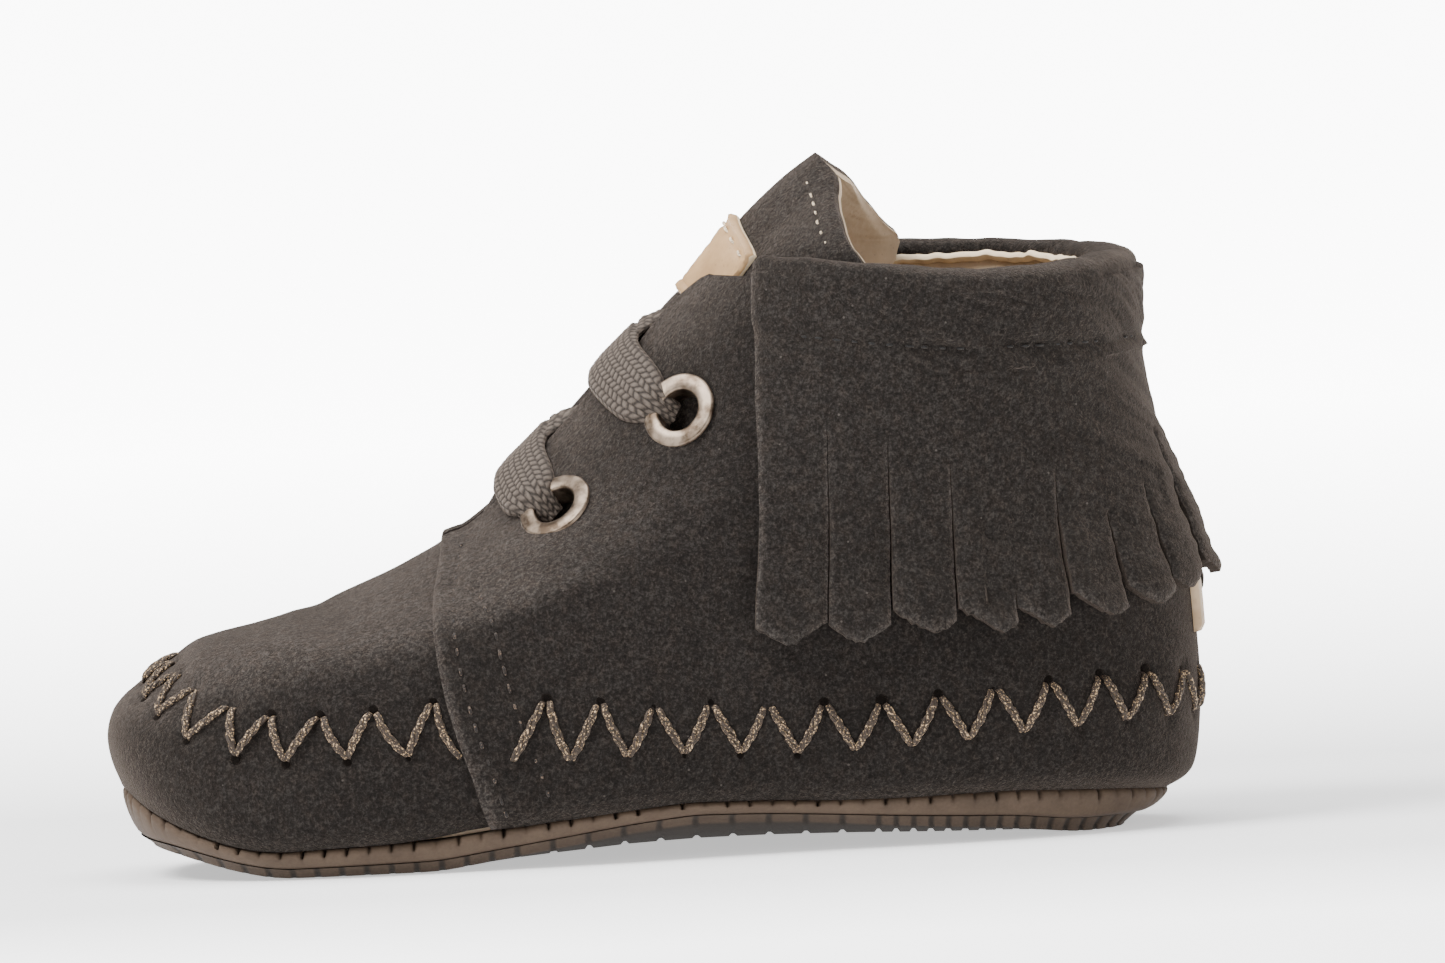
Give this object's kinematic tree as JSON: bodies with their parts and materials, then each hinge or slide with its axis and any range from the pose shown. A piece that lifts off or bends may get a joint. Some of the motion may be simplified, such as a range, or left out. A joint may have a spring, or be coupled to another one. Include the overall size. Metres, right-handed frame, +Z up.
{
  "type": "baby shoe",
  "caption": "Soft suede baby bootie, open at the collar, with a fringed cuff, a peaked tongue, lace bars over the throat and a thin rubber sole.",
  "frame": {"origin": "middle of the shoe's box, on the plane that the sole stands on", "axes": "+X from toe to heel, +Y to the foot's outer side, +Z up to the collar"},
  "size_m": [0.1278, 0.0572, 0.0785],
  "materials": {
    "suede": "napped suede, dark grey-brown",
    "suede_cuff": "napped suede with lighter cut edges",
    "suede_tongue": "napped suede",
    "lining": "soft matte beige lining",
    "light_rubber": "matte tan rubber",
    "tread_rubber": "matte brown rubber",
    "label_leather": "smooth tan leather",
    "tab_leather": "smooth cream leather",
    "antique_metal": "satin antique metal",
    "braid": "flat braided cotton lace"
  },
  "bodies": {
    "root": {"upper": "suede", "fringe_cuff": "suede_cuff", "tongue": "suede_tongue", "insole": "lining", "midsole": "light_rubber", "outsole": "tread_rubber", "tongue_label": "label_leather", "back_tab": "tab_leather", "eyelet_lower_in": "antique_metal", "eyelet_lower_out": "antique_metal", "eyelet_upper_in": "antique_metal", "eyelet_upper_out": "antique_metal", "lace_bar_lower": "braid", "lace_bar_upper": "braid"}
  },
  "joints": []
}
